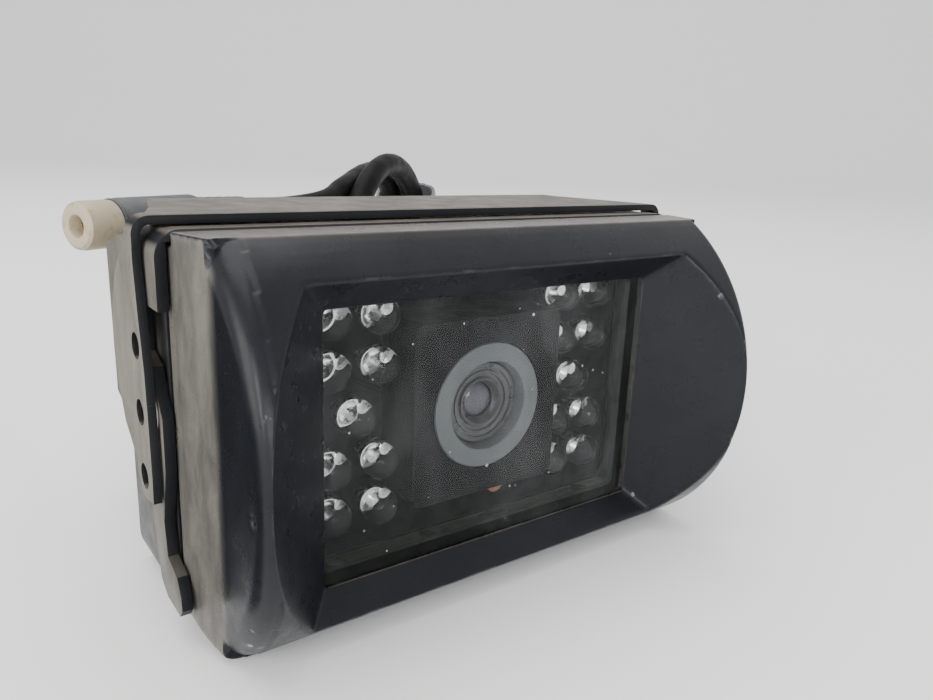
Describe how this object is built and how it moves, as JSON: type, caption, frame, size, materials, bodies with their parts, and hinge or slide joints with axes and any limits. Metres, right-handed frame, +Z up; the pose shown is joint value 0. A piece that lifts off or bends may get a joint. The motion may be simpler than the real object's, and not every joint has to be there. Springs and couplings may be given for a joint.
{
  "type": "backup camera",
  "caption": "Vehicle backup camera: cast head with a deep window recess, infrared LEDs, hood, tilting U bracket and coiled cable.",
  "frame": {"origin": "middle of the footprint of the head, hood and bracket, on the base", "axes": "+Z up, -Y the way the lens looks, +X to the right of a viewer in front of the lens"},
  "size_m": [0.0987, 0.1191, 0.057],
  "materials": {
    "black_cast": "semi-gloss black paint on die-cast metal, dusty and worn at the edges",
    "housing_black": "satin black paint",
    "hood_black": "satin dark grey paint",
    "bracket_black": "satin dark grey powder coat on sheet steel",
    "seal_rubber": "matt black",
    "window_clear": "clear, dusty",
    "mask_black": "matt black",
    "ring_grey": "satin mid grey",
    "barrel_black": "satin black",
    "lens_glass": "coated lens glass",
    "led_clear": "clear epoxy",
    "board_green": "dark green solder mask",
    "brass": "bright",
    "steel": "zinc plated",
    "black_steel": "black oxide",
    "nylon": "natural nylon",
    "sensor_dark": "glossy dark",
    "wire_red": "thin PVC insulation",
    "cable_rubber": "black PVC jacket",
    "tie_grey": "dark grey hook-and-loop tape",
    "boot_grey": "moulded dark grey boot",
    "cream_plastic": "aged cream plastic"
  },
  "bodies": {
    "camera": {"front_bezel": "black_cast", "rear_housing": "housing_black", "hood": "hood_black", "housing_seal": "seal_rubber", "housing_screws": "steel", "window_glass": "window_clear", "window_gasket": "seal_rubber", "lens_mask": "mask_black", "lens_ring": "ring_grey", "lens_barrel": "barrel_black", "lens_front_element": "lens_glass", "lens_rear_element": "lens_glass", "lens_holder": "barrel_black", "ir_filter": "lens_glass", "image_sensor": "sensor_dark", "sensor_board": "board_green", "led_board": "board_green", "ir_leds": "led_clear", "light_sensor": "sensor_dark", "main_board": "board_green", "board_spacers": "brass", "board_screws": "steel", "board_connector": "nylon", "inner_wires": "wire_red", "pivot_screws": "black_steel", "pivot_bushes": "nylon", "cable_gland": "black_steel", "strain_relief": "cable_rubber", "cable_lead": "cable_rubber", "cable_coil": "cable_rubber", "cable_tail": "cable_rubber", "coil_tie": "tie_grey", "connector_boot": "boot_grey", "connector_insert": "cream_plastic", "connector_pins": "brass"},
    "bracket": {"u_bracket": "bracket_black"}
  },
  "joints": [
    {"name": "bracket_tilt", "type": "hinge", "parent": "camera", "child": "bracket", "pos_m": [0, -0.00838, 0.0283], "axis": [-1, 0, 0], "range_deg": [0, 15]}
  ]
}
